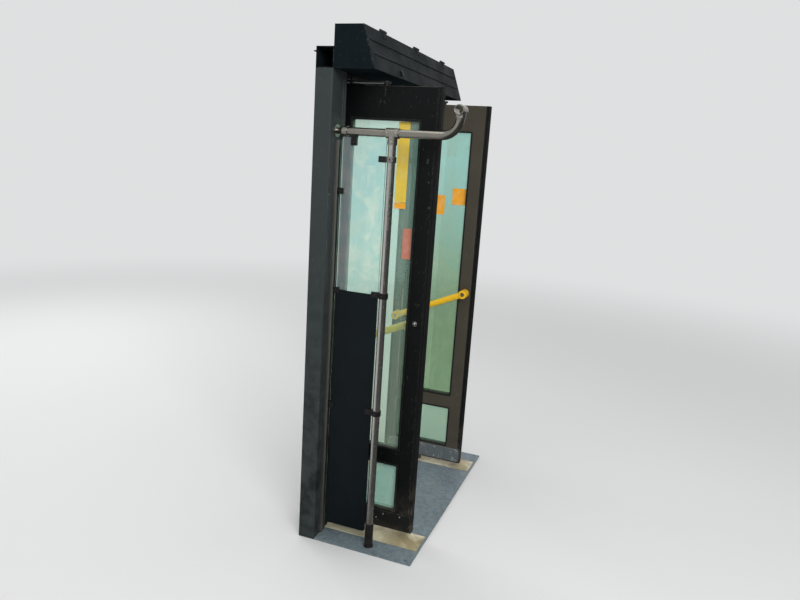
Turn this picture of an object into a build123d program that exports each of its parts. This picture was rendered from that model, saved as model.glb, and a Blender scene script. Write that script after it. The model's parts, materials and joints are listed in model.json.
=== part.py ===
from build123d import *
import math
import os

# Rear exit doorway of a low-floor city bus, in millimetres: wall portal, header,
# two glazed leaves that swing and glide inwards, and the guard screen in front.
# +X runs to the rear of the bus, +Y out to the kerb, +Z up.
# The origin is the doorway's centre on the underside of the floor plate.

# Portal
clear_half = 466.0          # centre line to the face of a door post
post_width = 134.0          # door post, along the wall
post_wall = 3.0             # wall of the hollow post and beam
post_round = 6.0            # edges of the post on the inside of the bus
bead_radius = 2.5           # raised beads down the inner face of each post
bead_inset = 16.0           # first bead to the doorway
bead_pitch = 18.0
bead_end_gap = 20.0
wall_in = -45.0             # inner face of the portal
wall_out = 30.0             # outer face of the portal
door_height = 2000.0        # underside of the header
beam_height = 80.0
drip_reach = 10.0           # rain lip above the doorway
drip_thick = 4.0
drip_drop = 16.0            # top of the lip below the top of the beam
stop_width = 16.0           # strips that the leaves close against
seal_wall = 1.5             # rubber over each face of the stop strip
seal_grip = 8.0             # rubber nose over the strip's edge
seal_nose = 4.0
seal_top_gap = 35.0
header_seal_inset = 20.0
header_seal_thick = 5.0

# Floor
plate_margin = 65.0         # floor plate beyond the open leaves
plate_thick = 6.0
strip_near = 32.0           # pale strips under the open leaves, each side of the leaf's plane
strip_far = 94.0
strip_thick = 2.0
strip_margin = 10.0
rib_height = 2.0
rib_width = 4.0
rib_pitch = 10.0
nosing_depth = 18.0
bolt_hole_radius = 5.5      # floor bolts
bolt_side = 20.0            # bolts to the side of the plate
bolt_edge = 30.0            # inner row of bolts to the plate's inner edge
bolt_wall = 45.0            # outer row of bolts to the portal

# Leaves
pivot_inset = 66.0          # arm pivot, which is in the plane of the open leaf, to the door post
leaf_thick = 38.0
leaf_bottom = 34.0
leaf_top_gap = 40.0         # top of the leaf to the header
lead_reach = 20.0           # leading edge beyond the guided point of the linkage
meeting_gap = 3.0           # closed leaf to the centre line
closing_gap = 8.0           # closed leaf to the door post
trailing_stile = 62.0
leading_stile = 45.0
leading_rubber = 17.0
trailing_rubber = 18.0
top_rail = 127.0
bottom_rail = 86.0
lower_pane = 230.0          # height of the lower window
mid_rail = 65.0
frame_round = 3.0
frame_chamfer = 1.5
corner_radius = 8.0
gasket_width = 8.0
gasket_proud = 1.5
glass_thick = 5.0
glass_bite = 5.0            # glass edge held in the gasket
bulb_inset = 2.0            # leading rubber inside the leaf's faces
bulb_shoulder = 5.0
tail_round = 5.0
tail_groove = 3.0
tail_groove_depth = 4.0
brush_length = 10.0
brush_thick = 12.0
brush_inset = 7.0
kick_margin = 6.0           # kick plate to the edges of the bottom rail
kick_thick = 2.0
kick_round = 10.0
shoe_thick = 1.5            # plate on the other face
seat_gap = 0.2              # between glass and gasket, gasket and frame
run_gap = 5.0               # least running clearance of a moving piece

# Arms, bearings and guides
arm_half = 18.0
upper_arm_gap = 10.0        # upper arm above the leaf
upper_arm_thick = 8.0
lower_arm_gap = 7.0         # lower arm above the floor plate
lower_arm_thick = 6.0
shaft_radius = 10.0
shaft_over = 10.0           # upper shaft into the header beam
shaft_hole_gap = 3.0
shaft_collar = 5.0
leaf_pin_radius = 6.0
leaf_pin_collar = 5.0
pin_clearance = 0.05
pin_in_leaf = 40.0
pin_end_gap = 2.0
bearing_radius = 24.0
bearing_recess = 4.0
thrust_gap = 0.3
guide_turn = 8.0            # degrees between the guide track and the wall
roller_radius = 11.0
roller_height = 10.0
roller_play = 1.5
roller_pin_radius = 5.0
track_wall = 3.0
track_height = 16.0
track_near_gap = 8.0        # track's end to the bearing
track_far_gap = 12.0        # track's end to the roller of a closed leaf
bracket_thick = 6.0
bracket_drop = 90.0
bracket_far = 26.0
bracket_near = 10.0
bracket_over = 1.0
shelf_far = 12.0

# Handles
handle_radius = 16.0
handle_standoff = 42.0
boss_radius = 22.0
boss_length = 60.0
boss_round = 3.0
boss_recess_radius = 11.0
boss_recess = 10.0
handle_bolt_radius = 5.0
bolt_head_radius = 8.5
bolt_head = 6.0
nut_washer_radius = 10.0
nut_washer = 3.0
nut_dome_radius = 8.0
handle_high_z = 1000.0      # boss on the trailing stile
handle_low_z = 838.0        # boss on the leading stile

# Header
header_depth = 170.0        # from the wall inwards, at the bottom
header_slope = 55.0         # how far the cover leans back over its height
header_height = 160.0
header_wall = 4.0
mouth_side = 24.0           # rim round the opening that the cover closes
mouth_rim = 18.0
mouth_reach = 35.0
cover_thick = 3.0
cover_gap = 0.5
cover_side_gap = 2.0
cover_bead_radius = 4.0
cover_bead_shares = (0.36, 0.68)
hinge_inset = 200.0         # outer hinges to the ends of the header
hinge_half = 30.0
hinge_radius = 5.5
hinge_pin_radius = 2.5
hinge_out = 2.0             # hinge pin outside the cover's line
hinge_over = 7.0            # and above its top
knuckle_gap = 0.3
wing_length = 30.0
wing_thick = 2.5
wing_notch = 8.0
cover_wing_low = 22.0       # cover's hinge wing, below and above the cover's edge
cover_wing_high = 6.0
latch_inset = 300.0
latch_low = 22.0
latch_radius = 13.0
latch_height = 6.0
latch_slot = 3.0
engine_size = (360.0, 80.0, 90.0)
engine_back_gap = 20.0

# Guard screen
guard_inset = 55.0          # plane of the screen to the front end of the portal
tube_radius = 16.0
tube_wall = 2.0
stanchion_y = -285.0
rail_drop = 230.0           # cross rail below the header
ceiling_rail_drop = 134.0   # ceiling rail below the header
ceiling_rail_y = -550.0
rail_bend = 70.0
tee_gap = 2.0               # stanchion's end to the rail
clamp_gap = 4.0             # cross rail's end to the ceiling rail
panel_gap = 7.0             # screen to the stanchion
panel_wall_gap = 30.0       # screen to the wall
panel_low = 70.0
panel_seam = 1129.0
seam_gap = 4.0
screen_round = 10.0
screen_top_gap = 6.0        # screen glass to the cross rail
screen_thick = 6.0
fit_gap = 0.1               # sleeves and clamps round a tube
sleeve_wall = 4.0
sleeve_end = 1.5            # chamfer on the ends of a sleeve
stub_step = 0.5             # stub slimmer than the sleeve that it grows from
foot_wall = 2.0
foot_reach = 3.0            # flange beyond the foot's sleeve
foot_flange = 5.0
foot_height = 110.0
socket_flange_radius = 26.0
socket_flange = 4.0
socket_neck_radius = 12.0
socket_neck = 14.0
socket_cone = 30.0
socket_length = 50.0
tee_half = 28.0
tee_drop = 45.0
tee_web = 4.0               # stub's top inside the sleeve above it
rail_clamp_half = 30.0
rail_clamp_drop = 29.0
channel_half = 12.0
channel_depth = 18.0
channel_wall = 3.0
channel_foot_gap = 14.0
channel_top_gap = 36.0
clamp_half = 8.0
clamp_bite = 28.0           # stanchion clamp over the screen
channel_clamp_bite = 14.0
clamp_tall = 24.0
lower_clamp_z = 625.0
top_clamp_drop = 100.0      # highest clamp on the stanchion below the rail
channel_clamp_drop = 235.0  # and on the wall channel
hanger_y = -125.0
hanger_wide = 24.0
hanger_drop = 54.0          # hanger below the rail's centre

past = 1.0                  # how far a cutting shape runs past the surface

# Worked out
half_width = clear_half + post_width
pivot_x = clear_half - pivot_inset
leaf_x = -pivot_x
leaf_width = clear_half - meeting_gap - closing_gap
leaf_top = door_height - leaf_top_gap
inner_x = leaf_x + leaf_thick / 2
outer_x = leaf_x - leaf_thick / 2
lead_y = lead_reach
trail_y = lead_reach - leaf_width
frame_y = (trail_y + trailing_rubber, lead_y - leading_rubber)
glass_y = (frame_y[0] + trailing_stile, frame_y[1] - leading_stile)
lower_window = (leaf_bottom + bottom_rail, leaf_bottom + bottom_rail + lower_pane)
upper_window = (lower_window[1] + mid_rail, leaf_top - top_rail)
handle_high = (frame_y[0] + trailing_stile / 2, handle_high_z)
handle_low = (frame_y[1] - leading_stile / 2, handle_low_z)
stop_y = leaf_thick / 2 + run_gap
plate_in = trail_y - plate_margin
sill_top = plate_thick + rib_height
arm_length = (pivot_x - lead_reach - meeting_gap) / 2
upper_arm_low = leaf_top + upper_arm_gap
upper_arm_top = upper_arm_low + upper_arm_thick
lower_arm_low = plate_thick + lower_arm_gap
lower_arm_top = lower_arm_low + lower_arm_thick
header_top = door_height + header_height
guard_x = -half_width + guard_inset
rail_z = door_height - rail_drop
ceiling_rail_z = door_height - ceiling_rail_drop
panel_y = (stanchion_y + tube_radius + panel_gap, wall_in - panel_wall_gap)
screen_top = rail_z - tube_radius - screen_top_gap
clamp_heights = (lower_clamp_z, panel_seam, rail_z - top_clamp_drop)
channel_clamp_heights = (lower_clamp_z, panel_seam, rail_z - channel_clamp_drop)
sleeve_radius = tube_radius + sleeve_wall
foot_radius = tube_radius + foot_wall
tube_bore = tube_radius + fit_gap


def block(x0, x1, y0, y1, z0, z1):
    """A box between two corners."""
    middle = Pos((x0 + x1) / 2, (y0 + y1) / 2, (z0 + z1) / 2)
    return middle * Box(x1 - x0, y1 - y0, z1 - z0)


def cone(start, end, first_radius, last_radius):
    """A round bar between two points, which may taper."""
    origin = Vector(*start)
    along = Vector(*end) - origin
    seat = (Align.CENTER, Align.CENTER, Align.MIN)
    if first_radius == last_radius:
        bar = Cylinder(first_radius, along.length, align=seat)
    else:
        bar = Cone(first_radius, last_radius, along.length, align=seat)
    return Plane(origin=origin, z_dir=along) * bar


def rod(start, end, radius):
    """A round bar between two points."""
    return cone(start, end, radius, radius)


def upright(x, y, z0, z1, radius):
    """A round bar along Z."""
    return rod((x, y, z0), (x, y, z1), radius)


def soft_sleeve(start, end, radius):
    """A round bar with both ends chamfered."""
    bar = rod(start, end, radius)
    return chamfer(bar.edges().filter_by(GeomType.CIRCLE), sleeve_end)


def sheet_yz(y_span, z_span, radius, x0, x1):
    """A plate in a plane of constant x, with rounded corners."""
    middle = Pos(sum(y_span) / 2, sum(z_span) / 2)
    outline = middle * RectangleRounded(y_span[1] - y_span[0], z_span[1] - z_span[0], radius)
    return extrude(Plane.YZ.offset(x0) * outline, x1 - x0)


def shrink(span, by):
    """A span with both ends moved inwards."""
    return span[0] + by, span[1] - by


def prism_x(points, x0, x1):
    """A prism along X over an outline of (y, z) points."""
    outline = make_face(Polyline(*points, close=True))
    return extrude(Plane.YZ.offset(x0) * outline, x1 - x0)


def slot_plate(start, end, radius, z0, z1):
    """A flat bar with round ends between two (x, y) points."""
    middle = (Vector(*start) + Vector(*end)) / 2
    along = Vector(*end) - Vector(*start)
    outline = SlotCenterToCenter(along.length, 2 * radius)
    turn = math.degrees(math.atan2(along.Y, along.X))
    return extrude(Pos(middle.X, middle.Y, z0) * Rot(0, 0, turn) * outline, z1 - z0)


def rear(shape):
    """The mirror copy for the rear half of the doorway."""
    return mirror(shape, about=Plane.YZ)


# Portal

def door_post():
    post = block(-half_width, -clear_half, wall_in, wall_out, 0, door_height)
    post = fillet(post.edges().filter_by(Axis.Z).group_by(Axis.Y)[0], post_round)
    for row in (0, 1):
        post += upright(-clear_half - bead_inset - row * bead_pitch, wall_in,
                        bead_end_gap, door_height - bead_end_gap, bead_radius)
    return post - block(-half_width + post_wall, -clear_half - post_wall, wall_in + post_wall,
                        wall_out - post_wall, -past, door_height + past)


def stop_strip():
    """Strip that the leaf's trailing edge closes against."""
    return block(-clear_half, -clear_half + stop_width, stop_y + seal_wall, wall_out - seal_wall,
                 sill_top, door_height)


def stop_seal():
    """Rubber nose on the stop strip."""
    edge = -clear_half + stop_width
    seal = block(edge - seal_grip, edge + seal_nose, stop_y, wall_out,
                 sill_top, door_height - seal_top_gap)
    return seal - block(edge - seal_grip - past, edge, stop_y + seal_wall, wall_out - seal_wall,
                        0, door_height)


def top_beam():
    top = door_height + beam_height
    beam = block(-half_width, half_width, wall_in, wall_out, door_height, top)
    beam -= block(-half_width - past, half_width + past, wall_in + post_wall, wall_out - post_wall,
                  door_height + post_wall, top - post_wall)
    beam += block(-half_width, half_width, wall_out, wall_out + drip_reach,
                  top - drip_drop - drip_thick, top - drip_drop)
    for side in (-1, 1):
        beam -= upright(side * pivot_x, 0, door_height - past, door_height + shaft_over,
                        shaft_radius + shaft_hole_gap)
    return beam


def header_seal():
    return block(-clear_half + header_seal_inset, clear_half - header_seal_inset,
                 wall_out - header_seal_thick, wall_out, leaf_top + run_gap, door_height)


# Floor

def floor_plate():
    plate = block(-half_width, half_width, plate_in, wall_in, 0, plate_thick)
    for side in (-1, 1):
        for y in (plate_in + bolt_edge, wall_in - bolt_wall):
            plate -= upright(side * (half_width - bolt_side), y, -past, plate_thick + past,
                             bolt_hole_radius)
    return plate


def floor_strip():
    return block(leaf_x - strip_far, leaf_x + strip_near, plate_in + strip_margin, wall_in,
                 plate_thick, plate_thick + strip_thick)


def threshold():
    sill = block(-clear_half, clear_half, wall_in, wall_out, 0, plate_thick)
    count = int((wall_out - wall_in - 2 * rib_width) // rib_pitch)
    for i in range(count + 1):
        y = wall_in + rib_width + i * rib_pitch
        sill += block(-clear_half, clear_half, y, y + rib_width, plate_thick, sill_top)
    for side in (-1, 1):
        sill -= upright(side * pivot_x, 0, plate_thick, sill_top + past, bearing_radius + bearing_recess)
    return sill


def threshold_nosing():
    front = wall_out + nosing_depth
    outline = make_face([
        Line((wall_out, 0), (front, 0)),
        CenterArc((front - sill_top, 0), sill_top, 0, 90),
        Line((front - sill_top, sill_top), (wall_out, sill_top)),
        Line((wall_out, sill_top), (wall_out, 0)),
    ])
    return extrude(Plane.YZ.offset(-clear_half) * outline, 2 * clear_half)


# Bearings and guide tracks

def upper_bearing():
    low = upper_arm_top + run_gap + 2 * thrust_gap
    ring = upright(leaf_x, 0, low, door_height, bearing_radius)
    return ring - upright(leaf_x, 0, low - past, door_height + past, shaft_radius + pin_clearance)


def lower_bearing():
    high = lower_arm_low - thrust_gap
    ring = upright(leaf_x, 0, plate_thick, high, bearing_radius)
    return ring - upright(leaf_x, 0, plate_thick - past, high + past, shaft_radius + pin_clearance)


def guide_track():
    """Two parallel bars under the header; the leaf's roller runs between them."""
    near = bearing_radius + track_near_gap
    far = 2 * arm_length * math.cos(math.radians(guide_turn)) + roller_radius + track_far_gap
    offset = roller_radius + roller_play + track_wall / 2
    pieces = []
    for side in (-1, 1):
        bar = Pos((near + far) / 2, side * offset, door_height - track_height / 2)
        bar = bar * Box(far - near, track_wall, track_height)
        pieces.append(Pos(leaf_x, 0, 0) * Rot(0, 0, -guide_turn) * bar)
    return Compound(children=pieces)


# Header

def cover_line(distance):
    """The cover's sloping line, moved outwards by a distance: its low and high point and direction."""
    low = Vector(wall_in - header_depth, door_height)
    high = Vector(wall_in - header_depth + header_slope, header_top)
    along = (high - low).normalized()
    out = Vector(-along.Y, along.X) * distance
    return low + out, high + out, along


def crosswise(x0, x1, place, radius):
    """A round bar along X at a (y, z) place."""
    return rod((x0, place.X, place.Y), (x1, place.X, place.Y), radius)


def header_housing():
    low, high, along = cover_line(0)
    body = prism_x([(wall_in, door_height), (low.X, low.Y), (high.X, high.Y), (wall_in, header_top)],
                   -half_width, half_width)
    low, high, along = cover_line(-header_wall)
    floor_z = door_height + header_wall
    roof_z = header_top - header_wall
    lean = along.X / along.Y
    body -= prism_x([(wall_in - header_wall, floor_z),
                     (low.X + (floor_z - low.Y) * lean, floor_z),
                     (low.X + (roof_z - low.Y) * lean, roof_z),
                     (wall_in - header_wall, roof_z)],
                    -half_width + header_wall, half_width - header_wall)
    mouth_in = wall_in - header_depth + header_slope + mouth_reach
    return body - block(-half_width + mouth_side, half_width - mouth_side,
                        wall_in - header_depth - mouth_reach, mouth_in,
                        door_height + mouth_rim, header_top - mouth_rim)


def hinge_place():
    low, high, along = cover_line(hinge_out)
    return high + along * hinge_over


def hinge_row():
    reach = half_width - hinge_inset
    return [place * reach for place in (-1, 0, 1)]


def cover_hinges():
    """Fixed halves of the cover's hinges, each with its pin."""
    pin = hinge_place()
    pieces = []
    for x in hinge_row():
        piece = block(x - hinge_half, x + hinge_half, pin.X, pin.X + wing_length,
                      header_top, header_top + wing_thick)
        piece -= block(x - hinge_half / 2, x + hinge_half / 2, pin.X - past, pin.X + wing_notch,
                       header_top - past, header_top + wing_thick + past)
        piece += crosswise(x - hinge_half, x + hinge_half, pin, hinge_pin_radius)
        for end in (-1, 1):
            piece += crosswise(x + end * (hinge_half / 2 + knuckle_gap), x + end * hinge_half, pin,
                               hinge_radius)
        pieces.append(piece)
    return Compound(children=pieces)


def header_cover():
    low, high, along = cover_line(cover_gap)
    low_out, high_out, along = cover_line(cover_gap + cover_thick)
    reach = half_width - cover_side_gap
    cover = prism_x([(low.X, low.Y), (low_out.X, low_out.Y), (high_out.X, high_out.Y), (high.X, high.Y)],
                    -reach, reach)
    for share in cover_bead_shares:
        place = low_out + (high_out - low_out) * share
        cover += crosswise(-reach + hinge_half, reach - hinge_half, place, cover_bead_radius)
    low_wing, high_wing, along = cover_line(cover_gap + cover_thick + wing_thick)
    wing = [high_out - along * cover_wing_low, high_wing - along * cover_wing_low,
            high_wing + along * cover_wing_high, high_out + along * cover_wing_high]
    pin = hinge_place()
    for x in hinge_row():
        cover += prism_x([(point.X, point.Y) for point in wing], x - hinge_half / 2, x + hinge_half / 2)
        cover += crosswise(x - hinge_half / 2, x + hinge_half / 2, pin, hinge_radius)
        cover -= crosswise(x - hinge_half, x + hinge_half, pin, hinge_pin_radius + pin_clearance)
    behind = prism_x([(low.X, low.Y), (high.X, high.Y),
                      (high.X + header_slope, high.Y), (low.X + header_slope, low.Y)], -reach, reach)
    return cover - behind


def cover_latches():
    low, high, along = cover_line(cover_gap + cover_thick)
    out = Vector(-along.Y, along.X)
    start = low + along * latch_low
    end = start + out * latch_height
    notch = end - out * latch_slot
    tip = end + out * past
    pieces = []
    for side in (-1, 1):
        x = side * (half_width - latch_inset)
        latch = rod((x, start.X, start.Y), (x, end.X, end.Y), latch_radius)
        half = latch_slot / 2
        latch -= prism_x([((notch + along * half).X, (notch + along * half).Y),
                          ((tip + along * half).X, (tip + along * half).Y),
                          ((tip - along * half).X, (tip - along * half).Y),
                          ((notch - along * half).X, (notch - along * half).Y)],
                         x - latch_radius, x + latch_radius)
        pieces.append(latch)
    return Compound(children=pieces)


def door_engine():
    back = wall_in - engine_back_gap
    low = door_height + header_wall
    return block(-engine_size[0] / 2, engine_size[0] / 2, back - engine_size[1], back,
                 low, low + engine_size[2])


# Arms of the front leaf

def upper_arm():
    arm = slot_plate((leaf_x, 0), (leaf_x, -arm_length), arm_half, upper_arm_low, upper_arm_top)
    arm += upright(leaf_x, 0, upper_arm_top, upper_arm_top + run_gap + thrust_gap,
                   shaft_radius + shaft_collar)
    arm += upright(leaf_x, 0, upper_arm_top, door_height + shaft_over, shaft_radius)
    arm += upright(leaf_x, -arm_length, leaf_top + thrust_gap, upper_arm_low,
                   leaf_pin_radius + leaf_pin_collar)
    arm += upright(leaf_x, -arm_length, leaf_top - pin_in_leaf, upper_arm_low, leaf_pin_radius)
    return arm


def lower_arm():
    arm = slot_plate((leaf_x, 0), (leaf_x, -arm_length), arm_half, lower_arm_low, lower_arm_top)
    arm += upright(leaf_x, 0, plate_thick + thrust_gap, lower_arm_top, shaft_radius)
    arm += upright(leaf_x, -arm_length, lower_arm_top, leaf_bottom - thrust_gap,
                   leaf_pin_radius + leaf_pin_collar)
    arm += upright(leaf_x, -arm_length, lower_arm_top, leaf_bottom + pin_in_leaf, leaf_pin_radius)
    return arm


# Front leaf

def leaf_frame():
    frame = sheet_yz(frame_y, (leaf_bottom, leaf_top), frame_round, outer_x, inner_x)
    frame = chamfer(frame.edges().filter_by(Axis.Z), frame_chamfer)
    for window in (lower_window, upper_window):
        frame -= sheet_yz(glass_y, window, corner_radius, outer_x - past, inner_x + past)
    bore = leaf_pin_radius + pin_clearance
    depth = pin_in_leaf + pin_end_gap
    frame -= upright(leaf_x, -arm_length, leaf_bottom - past, leaf_bottom + depth, bore)
    frame -= upright(leaf_x, -arm_length, leaf_top - depth, leaf_top + past, bore)
    for y, z in (handle_high, handle_low):
        frame -= rod((outer_x - past, y, z), (inner_x + past, y, z), handle_bolt_radius + seat_gap)
    return frame


def window_gasket(window):
    ring = sheet_yz(shrink(glass_y, seat_gap), shrink(window, seat_gap), corner_radius - seat_gap,
                    outer_x - gasket_proud, inner_x + gasket_proud)
    ring -= sheet_yz(shrink(glass_y, gasket_width), shrink(window, gasket_width), corner_radius / 2,
                     outer_x - gasket_proud - past, inner_x + gasket_proud + past)
    slot = gasket_width - glass_bite
    return ring - sheet_yz(shrink(glass_y, slot), shrink(window, slot), corner_radius / 2,
                           leaf_x - glass_thick / 2, leaf_x + glass_thick / 2)


def window_glass(window):
    inset = gasket_width - glass_bite + seat_gap
    half = (glass_thick - seat_gap) / 2
    return sheet_yz(shrink(glass_y, inset), shrink(window, inset), corner_radius / 2,
                    leaf_x - half, leaf_x + half)


def leading_edge():
    """Rounded rubber that meets the other leaf's."""
    half = leaf_thick / 2 - bulb_inset
    shoulder = frame_y[1] + bulb_shoulder
    outline = make_face([
        Line((leaf_x - half, frame_y[1]), (leaf_x - half, shoulder)),
        ThreePointArc((leaf_x - half, shoulder), (leaf_x, lead_y), (leaf_x + half, shoulder)),
        Line((leaf_x + half, shoulder), (leaf_x + half, frame_y[1])),
        Line((leaf_x + half, frame_y[1]), (leaf_x - half, frame_y[1])),
    ])
    return extrude(Pos(0, 0, leaf_bottom) * outline, leaf_top - leaf_bottom)


def trailing_edge():
    """Rubber along the hinge side, with a groove down each face."""
    edge = block(outer_x, inner_x, trail_y, frame_y[0], leaf_bottom, leaf_top)
    edge = fillet(edge.edges().filter_by(Axis.Z).group_by(Axis.Y)[0], tail_round)
    middle = (trail_y + frame_y[0]) / 2
    for face_x in (outer_x, inner_x):
        edge -= block(face_x - tail_groove_depth, face_x + tail_groove_depth,
                      middle - tail_groove / 2, middle + tail_groove / 2,
                      leaf_bottom - past, leaf_top + past)
    return edge


def floor_brush():
    brush = block(leaf_x - brush_thick / 2, leaf_x + brush_thick / 2, *shrink(frame_y, brush_inset),
                  leaf_bottom - brush_length, leaf_bottom)
    return brush - upright(leaf_x, -arm_length, 0, leaf_bottom,
                           leaf_pin_radius + leaf_pin_collar + run_gap)


def rail_plate(x0, x1):
    """Plate over the bottom rail."""
    return sheet_yz((trail_y + tail_round + kick_thick, frame_y[1] - kick_margin),
                    shrink((leaf_bottom, lower_window[0]), kick_margin), kick_round, x0, x1)


def kick_plate():
    """Plate on the face with the handle."""
    plate = rail_plate(inner_x, inner_x + kick_thick)
    return chamfer(plate.faces().sort_by(Axis.X)[-1].edges(), kick_thick / 2)


def shoe_plate():
    """Plate on the face to the street."""
    plate = rail_plate(outer_x - shoe_thick, outer_x)
    return chamfer(plate.faces().sort_by(Axis.X)[0].edges(), shoe_thick / 2)


def handle():
    bar_x = inner_x + handle_standoff
    front_x = inner_x + boss_length
    ends = (handle_high, handle_low)
    grip = rod((bar_x, *ends[0]), (bar_x, *ends[1]), handle_radius)
    for y, z in ends:
        boss = rod((inner_x, y, z), (front_x, y, z), boss_radius)
        grip += fillet(boss.edges().filter_by(GeomType.CIRCLE).sort_by(Axis.X)[-1], boss_round)
    for y, z in ends:
        grip -= rod((inner_x - past, y, z), (front_x, y, z), handle_bolt_radius + seat_gap)
        grip -= rod((front_x - boss_recess, y, z), (front_x + past, y, z), boss_recess_radius)
    return grip


def handle_bolts():
    head = inner_x + boss_length - boss_recess
    washer = outer_x - nut_washer
    wide = nut_dome_radius + past
    pieces = []
    for y, z in (handle_high, handle_low):
        bolt = rod((washer, y, z), (head, y, z), handle_bolt_radius)
        bolt += rod((head, y, z), (head + bolt_head, y, z), bolt_head_radius)
        bolt += rod((outer_x, y, z), (washer, y, z), nut_washer_radius)
        dome = Pos(washer, y, z) * Sphere(nut_dome_radius)
        bolt += dome - block(washer, washer + wide, y - wide, y + wide, z - wide, z + wide)
        pieces.append(bolt)
    return Compound(children=pieces)


def roller_place():
    """Where the roller's axis stands at rest."""
    reach = 2 * arm_length * math.sin(math.radians(guide_turn))
    turn = math.radians(-guide_turn)
    return leaf_x + reach * math.cos(turn), reach * math.sin(turn)


def roller_bracket():
    """Plate screwed to the top of the leaf, with a shelf for the roller's pin."""
    x, y = roller_place()
    top = leaf_top + bracket_over
    plate = block(inner_x, inner_x + bracket_thick, y - bracket_far, y + bracket_near,
                  leaf_top - bracket_drop, top)
    shelf = block(inner_x, x, y - shelf_far, y + bracket_near, top - bracket_thick, top)
    return plate + shelf + upright(x, y - bracket_over, top - bracket_thick, top, roller_radius)


def guide_roller():
    x, y = roller_place()
    top = door_height - run_gap
    pin = upright(x, y, leaf_top + bracket_over, top, roller_pin_radius)
    return pin + upright(x, y, top - roller_height, top, roller_radius)


# Guard screen

def stanchion():
    tube = upright(guard_x, stanchion_y, plate_thick, rail_z - tube_radius - tee_gap, tube_radius)
    return tube - upright(guard_x, stanchion_y, plate_thick - past, rail_z, tube_radius - tube_wall)


def stanchion_foot():
    foot = upright(guard_x, stanchion_y, plate_thick, plate_thick + foot_flange,
                   foot_radius + foot_reach)
    foot += soft_sleeve((guard_x, stanchion_y, plate_thick),
                        (guard_x, stanchion_y, plate_thick + foot_height), foot_radius)
    return foot - upright(guard_x, stanchion_y, plate_thick - past, plate_thick + foot_height + past,
                          tube_bore)


def cross_rail():
    """Rail from the wall, past the stanchion, and up to the ceiling rail."""
    start = (guard_x, wall_in - socket_cone - fit_gap, rail_z)
    end = (guard_x, ceiling_rail_y, ceiling_rail_z - tube_radius - clamp_gap)
    path = FilletPolyline(start, (guard_x, ceiling_rail_y, rail_z), end, radius=rail_bend)
    section = Plane(origin=start, z_dir=(0, -1, 0)) * (Circle(tube_radius) - Circle(tube_radius - tube_wall))
    return sweep(section, path=path)


def along_rail(near, far, first_radius, last_radius):
    """A round bar on the rail's line, between two distances from the wall."""
    return cone((guard_x, wall_in - near, rail_z), (guard_x, wall_in - far, rail_z),
                first_radius, last_radius)


def wall_socket():
    """Flange and tapered neck that carry the rail's end."""
    socket = along_rail(0, socket_flange, socket_flange_radius, socket_flange_radius)
    socket += along_rail(0, socket_neck, socket_neck_radius, socket_neck_radius)
    socket += along_rail(socket_neck, socket_cone, socket_neck_radius, sleeve_radius)
    socket += along_rail(socket_cone, socket_length, sleeve_radius, sleeve_radius)
    return socket - along_rail(socket_cone, socket_length + past, tube_bore, tube_bore)


def rail_tee():
    tee = soft_sleeve((guard_x, stanchion_y + tee_half, rail_z),
                      (guard_x, stanchion_y - tee_half, rail_z), sleeve_radius)
    tee += upright(guard_x, stanchion_y, rail_z - tee_drop, rail_z - tee_web, sleeve_radius - stub_step)
    tee -= rod((guard_x, stanchion_y + tee_half + past, rail_z),
               (guard_x, stanchion_y - tee_half - past, rail_z), tube_bore)
    return tee - upright(guard_x, stanchion_y, rail_z - tee_drop - past, rail_z - tube_radius - tee_gap,
                         tube_bore)


def rail_clamp():
    """Clamp on the ceiling rail, with a stub for the cross rail's end."""
    clamp = soft_sleeve((guard_x - rail_clamp_half, ceiling_rail_y, ceiling_rail_z),
                        (guard_x + rail_clamp_half, ceiling_rail_y, ceiling_rail_z),
                        sleeve_radius)
    clamp += upright(guard_x, ceiling_rail_y, ceiling_rail_z - rail_clamp_drop, ceiling_rail_z - tee_web,
                     sleeve_radius - stub_step)
    clamp -= rod((guard_x - rail_clamp_half - past, ceiling_rail_y, ceiling_rail_z),
                 (guard_x + rail_clamp_half + past, ceiling_rail_y, ceiling_rail_z), tube_bore)
    return clamp - upright(guard_x, ceiling_rail_y, ceiling_rail_z - rail_clamp_drop - past,
                           ceiling_rail_z - tube_radius - clamp_gap, tube_bore)


def wall_channel():
    mouth = wall_in - channel_depth
    channel = block(guard_x - channel_half, guard_x + channel_half, mouth, wall_in,
                    plate_thick + channel_foot_gap, rail_z - channel_top_gap)
    hollow = channel_half - channel_wall
    return channel - block(guard_x - hollow, guard_x + hollow, mouth - past, wall_in - channel_wall,
                           0, rail_z)


def guard_sheet(z_span):
    half = screen_thick / 2
    return sheet_yz(panel_y, z_span, screen_round, guard_x - half, guard_x + half)


def grip_block(y0, y1, z):
    """Clamp jaws over the edge of the screen."""
    half = clamp_tall / 2
    jaws = block(guard_x - clamp_half, guard_x + clamp_half, y0, y1, z - half, z + half)
    slot = screen_thick / 2 + fit_gap
    return jaws - block(guard_x - slot, guard_x + slot, panel_y[0] - past, panel_y[1] + past,
                        z - half - past, z + half + past)


def stanchion_clamps():
    half = clamp_tall / 2
    pieces = []
    for z in clamp_heights:
        clamp = soft_sleeve((guard_x, stanchion_y, z - half), (guard_x, stanchion_y, z + half),
                            sleeve_radius)
        clamp += grip_block(stanchion_y + tube_radius, panel_y[0] + clamp_bite, z)
        clamp -= upright(guard_x, stanchion_y, z - half - past, z + half + past, tube_bore)
        pieces.append(clamp)
    return Compound(children=pieces)


def channel_clamps():
    mouth = wall_in - channel_depth
    return Compound(children=[grip_block(panel_y[1] - channel_clamp_bite, mouth, z)
                              for z in channel_clamp_heights])


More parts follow.
